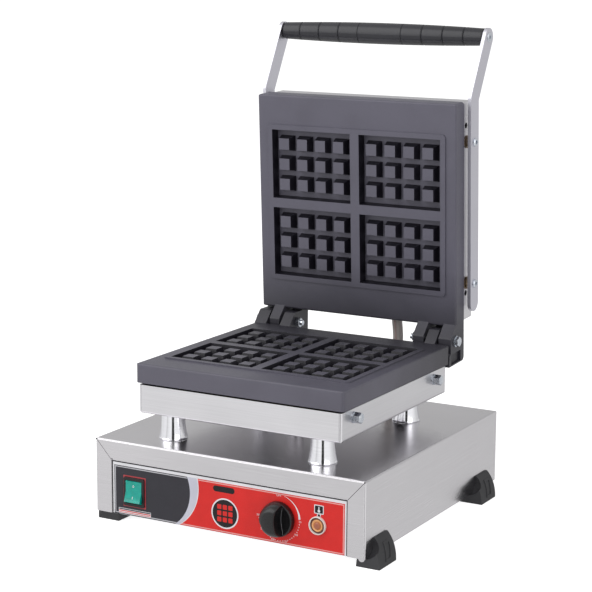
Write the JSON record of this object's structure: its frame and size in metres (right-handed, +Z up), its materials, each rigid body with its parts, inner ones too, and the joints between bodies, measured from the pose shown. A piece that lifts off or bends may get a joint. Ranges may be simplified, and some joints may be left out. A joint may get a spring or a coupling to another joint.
{
  "type": "waffle maker",
  "caption": "Square steel electric waffle maker with hinged twin cast waffle plates, posts, control panel and bar handle, lid open.",
  "frame": {"origin": "middle of the object's outline seen from above with the lid open, on the surface it stands on", "axes": "+X to the right of a person at the control panel, -Y towards that person, +Z up"},
  "size_m": [0.3381, 0.3714, 0.5147],
  "materials": {
    "brushed_steel": "brushed stainless sheet, light grey",
    "satin_steel": "satin stainless sheet, light grey",
    "printed_foil": "printed polycarbonate foil, red field with a dark grey end",
    "foot_rubber": "dark grey moulded rubber, matt",
    "zinc_steel": "bright zinc-plated steel",
    "plain_steel": "plain steel plate",
    "black_plastic": "black moulded plastic",
    "green_rocker": "blue-green translucent plastic",
    "insulator": "cream heat-proof insulating plastic",
    "knob_plastic": "black moulded plastic, half gloss",
    "bulb_copper": "copper bulb",
    "white_bezel": "white glossy ring",
    "amber_lens": "amber translucent plastic",
    "gland_metal": "plated brass gland",
    "conduit_sleeve": "silver-grey woven heat sleeve",
    "polished_aluminium": "turned and polished aluminium",
    "coated_casting": "dark grey non-stick coating on cast aluminium",
    "element_sheath": "heat-browned steel sheath",
    "mineral_wool": "pale mineral wool",
    "arm_steel": "satin flat bar",
    "black_grip": "turned black plastic, half gloss"
  },
  "bodies": {
    "base": {"base_shell": "brushed_steel", "control_panel": "brushed_steel", "panel_foil": "printed_foil", "bottom_pan": "brushed_steel", "foot_front_right": "foot_rubber", "foot_rear_right": "foot_rubber", "foot_front_left": "foot_rubber", "foot_rear_left": "foot_rubber", "foot_screws": "zinc_steel", "switch_body": "black_plastic", "thermostat_body": "insulator", "thermostat_screws": "zinc_steel", "thermostat_bulb": "bulb_copper", "pilot_lamp_body": "white_bezel", "pilot_lamp_lens": "amber_lens", "terminal_block": "insulator", "cable_gland": "black_plastic", "wire_sleeve": "brushed_steel", "conduit_gland": "gland_metal", "conduit": "conduit_sleeve", "post_front_left": "polished_aluminium", "post_front_right": "polished_aluminium", "post_rear_left": "polished_aluminium", "post_rear_right": "polished_aluminium", "post_bolts": "zinc_steel", "post_nuts": "zinc_steel", "lower_tray": "satin_steel", "lower_plate": "coated_casting", "lower_element": "element_sheath", "lower_clamp_plate": "plain_steel", "lower_clamp_studs": "zinc_steel", "lower_insulation": "mineral_wool", "tray_bolts": "zinc_steel", "tray_nuts": "zinc_steel", "hinge_bolts": "zinc_steel", "hinge_nuts": "zinc_steel"},
    "lid": {"upper_plate": "coated_casting", "upper_cover": "satin_steel", "upper_element": "element_sheath", "upper_clamp_plate": "plain_steel", "upper_clamp_studs": "zinc_steel", "upper_insulation": "mineral_wool", "left_arm": "arm_steel", "right_arm": "arm_steel", "arm_spacers": "zinc_steel", "arm_screws": "zinc_steel", "handle_grip": "black_grip", "handle_rod": "zinc_steel", "grip_screws": "zinc_steel", "conduit_grommet": "black_plastic"},
    "knob": {"thermostat_knob": "knob_plastic", "thermostat_shaft": "zinc_steel"},
    "rocker": {"switch_rocker": "green_rocker"}
  },
  "joints": [
    {"name": "lid_hinge", "type": "hinge", "parent": "base", "child": "lid", "pos_m": [-0.008, 0.1174, 0.1705], "axis": [1, 0, 0], "range_deg": [0, 87], "deforming": ["conduit"]},
    {"name": "knob_turn", "type": "hinge", "parent": "base", "child": "knob", "pos_m": [0.055, -0.1672, 0.0347], "axis": [0, 1, 0], "range_deg": [0, 275]},
    {"name": "rocker_tilt", "type": "hinge", "parent": "base", "child": "rocker", "pos_m": [-0.1203, -0.1662, 0.0347], "axis": [1, 0, 0], "range_deg": [0, 20]}
  ]
}
